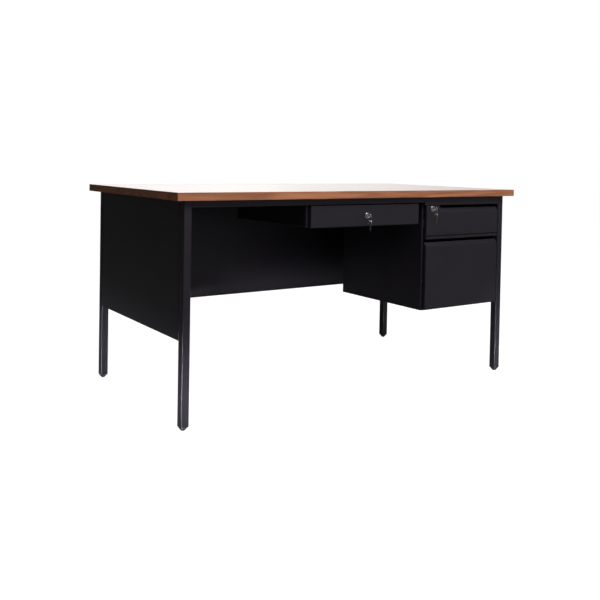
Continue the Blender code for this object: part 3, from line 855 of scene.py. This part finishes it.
def split_ring(name, node, body):
    """Two flat turns of wire: a helix whose second turn lies beside the first."""
    low, high = limits(node)
    middle, wide = (low + high) / 2, (high[0] - low[0]) / 2 - WIRE
    turn = np.linspace(0.3, 4 * np.pi + 0.1, 150)
    aside = WIRE * np.tanh((turn - 2 * np.pi) * 1.5)
    path = np.stack([middle[0] + wide * np.sin(turn), middle[1] + aside, middle[2] - wide * np.cos(turn)], -1)
    made = piece(name, wire(path, WIRE), nickel, body)
    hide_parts(node)


for prefix, drawer in (("centre", "centre_drawer"), ("pedestal", "box_drawer")):
    housing(f"{prefix}_collar", f"{prefix}_lock_housing", drawer)
    plug(f"{prefix}_plug", f"{prefix}_lock_plug", f"{prefix}_lock_turn")
    low, high = limits(f"{prefix}_key")
    start, x, z = low[1] + BOW, (low[0] + high[0]) / 2, (low[2] + high[2]) / 2
    key(f"{prefix}_turned_key", f"{prefix}_key", f"{prefix}_lock_turn",
        lambda a, b, c: np.stack([x + c, start + a, z + b], -1), TURNED_BLADE)
    low, high = limits(f"{prefix}_spare_key")
    top, x, y = high[2] - BOW, (low[0] + high[0]) / 2, (low[1] + high[1]) / 2
    key(f"{prefix}_hanging_key", f"{prefix}_spare_key", f"{prefix}_spare_swing",
        lambda a, b, c: np.stack([x + c, y + b, top - a], -1), SPARE_BLADE)
    split_ring(f"{prefix}_split_ring", f"{prefix}_key_ring", f"{prefix}_ring_swing")
    refinish(f"{prefix}_lock_cam", zinc)


# %% [markdown]
# ## The floor
#
# The desk stands on a wide pale sweep. A white diffuse floor would throw light up into the kneehole,
# so this one glows almost only for the camera, and reflects like a dark grey.

# %% Floor
FLOOR_GLOW, FLOOR_SEEN, FLOOR_HALF = 0.02, 0.97, 30.0


def floor_finish():
    """Nearly white to the camera, and dark grey as a source of bounced light."""
    made, tree, shader = finish("pale_floor", Roughness=0.9, Base_Color=(0.25, 0.25, 0.25, 1))
    seen = put(tree, "LightPath").outputs["Is Camera Ray"]
    strength = between(tree, seen, FLOOR_GLOW, FLOOR_SEEN)
    shine = put(tree, "Emission", {"Color": (1, 1, 1, 1), "Strength": strength})
    both = put(tree, "AddShader", {0: shader.outputs[0], 1: shine.outputs[0]})
    tree.links.new(both.outputs[0], tree.nodes["Material Output"].inputs["Surface"])
    return made


floor_corners = [(x, y, 0) for x, y in rectangle(-FLOOR_HALF, FLOOR_HALF, -FLOOR_HALF, FLOOR_HALF)]
mesh = bpy.data.meshes.new("floor")
mesh.from_pydata(floor_corners, [], [(0, 1, 2, 3)])
mesh.materials.append(floor_finish())
floor = bpy.data.objects.new("floor", mesh)
bpy.context.scene.collection.objects.link(floor)


# %% [markdown]
# ## Soft light
#
# A bright low glow behind the desk is what the top mirrors at a low angle, and a dimmer one in front
# lifts the drawer faces. Both are lobes of the world's light: the cosine of the angle to an axis,
# raised to a power. A large lamp would do the same, with a hard edge in the reflection.

# %% The world's two lobes
IN_FRONT, BEHIND = (0.25, -0.95, 0.05), (0.5, 0.86, 0.05)
SOFT_LIGHT = [(IN_FRONT, 8.0, 0.55), (BEHIND, 6.0, 1.01)]
WARM = (1.0, 0.968, 0.945)


def studio():
    """The sum of the lobes, slightly warm; the camera itself sees plain white."""
    world = bpy.data.worlds.new("studio")
    bpy.context.scene.world = world
    world.use_nodes = True
    tree = world.node_tree
    way = put(tree, "TexCoord").outputs["Generated"]
    lobes = []
    for axis, power, strength in SOFT_LIGHT:
        values = {0: way, 1: tuple(unit(np.array(axis)))}
        facing = put(tree, "VectorMath", values, operation="DOT_PRODUCT").outputs["Value"]
        facing = put(tree, "Math", {0: facing, 1: 0.0}, operation="MAXIMUM").outputs[0]
        facing = put(tree, "Math", {0: facing, 1: power}, operation="POWER").outputs[0]
        lobes.append(put(tree, "Math", {0: facing, 1: strength}, operation="MULTIPLY").outputs[0])
    total = put(tree, "Math", {0: lobes[0], 1: lobes[1]}, operation="ADD").outputs[0]
    seen = put(tree, "LightPath").outputs["Is Camera Ray"]
    warm = put(tree, "VectorMath", {0: WARM, "Scale": total}, operation="SCALE").outputs["Vector"]
    shown = put(tree, "MixRGB", {0: seen, 1: warm, 2: (1, 1, 1, 1)}).outputs[0]
    tree.links.new(shown, tree.nodes["Background"].inputs["Color"])


studio()
bpy.context.scene.view_settings.view_transform = "Standard"


# %% [markdown]
# ## Lamps
#
# Four wide lamps stand round the desk, and the one in front is much the strongest. Two narrow beams
# run along the floor and brighten the feet; a wider beam there would also light the kneehole.

# %% Six lamps
KEY_POWER, LEFT_POWER, SIDE_POWER, BACK_POWER = 122.0, 16.0, 6.0, 25.0
LOW_POWER, LOW_RIGHT_POWER = 2.9, 2.2
WIDE_BEAM, NARROW_BEAM = 180, 9


def area_light(name, place, aim, wide, high, power, beam=WIDE_BEAM):
    """A rectangular lamp, turned so that its back faces away from what it aims at."""
    lamp = bpy.data.lights.new(name, "AREA")
    lamp.shape, lamp.size, lamp.size_y, lamp.energy = "RECTANGLE", wide, high, power
    lamp.spread = math.radians(beam)
    made = bpy.data.objects.new(name, lamp)
    place, aim = np.array(place, float), np.array(aim, float)
    back = unit(place - aim)
    right = unit(np.cross((0.0, 0.001, 1.0), back))
    axes = np.stack([right, np.cross(back, right), back], 1)
    made.matrix_world = Matrix([[*row, along] for row, along in zip(axes, place)] + [[0, 0, 0, 1]])
    made.visible_camera = False
    bpy.context.scene.collection.objects.link(made)


area_light("key_light", (0.4, -2.7, 3.2), (0, 0, 0.5), 2.0, 1.5, KEY_POWER)
area_light("left_light", (-1.6, -2.7, 2.6), (0, 0, 0.5), 2.0, 1.5, LEFT_POWER)
area_light("side_light", (3.5, -2.5, 1.5), (0, 0, 0.4), 1.5, 1.5, SIDE_POWER)
area_light("back_light", (1.2, 3.6, 2.2), (0, 0, 0.4), 2.0, 1.5, BACK_POWER)
area_light("low_light", (-2.72, -2.96, 0.08), (-0.32, 0.24, 0.08), 0.9, 0.12, LOW_POWER, NARROW_BEAM)
area_light("low_right_light", (-0.41, -4.13, 0.08), (0.99, -0.37, 0.08), 0.6, 0.12, LOW_RIGHT_POWER,
           NARROW_BEAM)
print("lamps:", len(bpy.data.lights))


# %% [markdown]
# ## The camera
#
# It stands at the front left, a little above the top, and looks across the desk almost level. Its
# lens is shifted down, as an architect's is, which keeps upright edges nearly upright.

# %% Camera
CAMERA_AT = (-1.7998, -2.4751, 0.8423)
YAW, PITCH, ROLL = math.radians(32.749), math.radians(1.296), math.radians(0.969)
LENS, SENSOR, SHIFT_X, SHIFT_Y = 46.244, 36.0, 0.0597, -0.2023

camera_data = bpy.data.cameras.new("camera")
camera_data.lens, camera_data.sensor_width = LENS, SENSOR
camera_data.shift_x, camera_data.shift_y = SHIFT_X, SHIFT_Y
camera = bpy.data.objects.new("camera", camera_data)
turn = Matrix.Rotation(-YAW, 4, "Z") @ Matrix.Rotation(math.pi / 2 - PITCH, 4, "X")
camera.matrix_world = Matrix.Translation(CAMERA_AT) @ (turn @ Matrix.Rotation(ROLL, 4, "Z"))
bpy.context.scene.collection.objects.link(camera)
bpy.context.scene.camera = camera
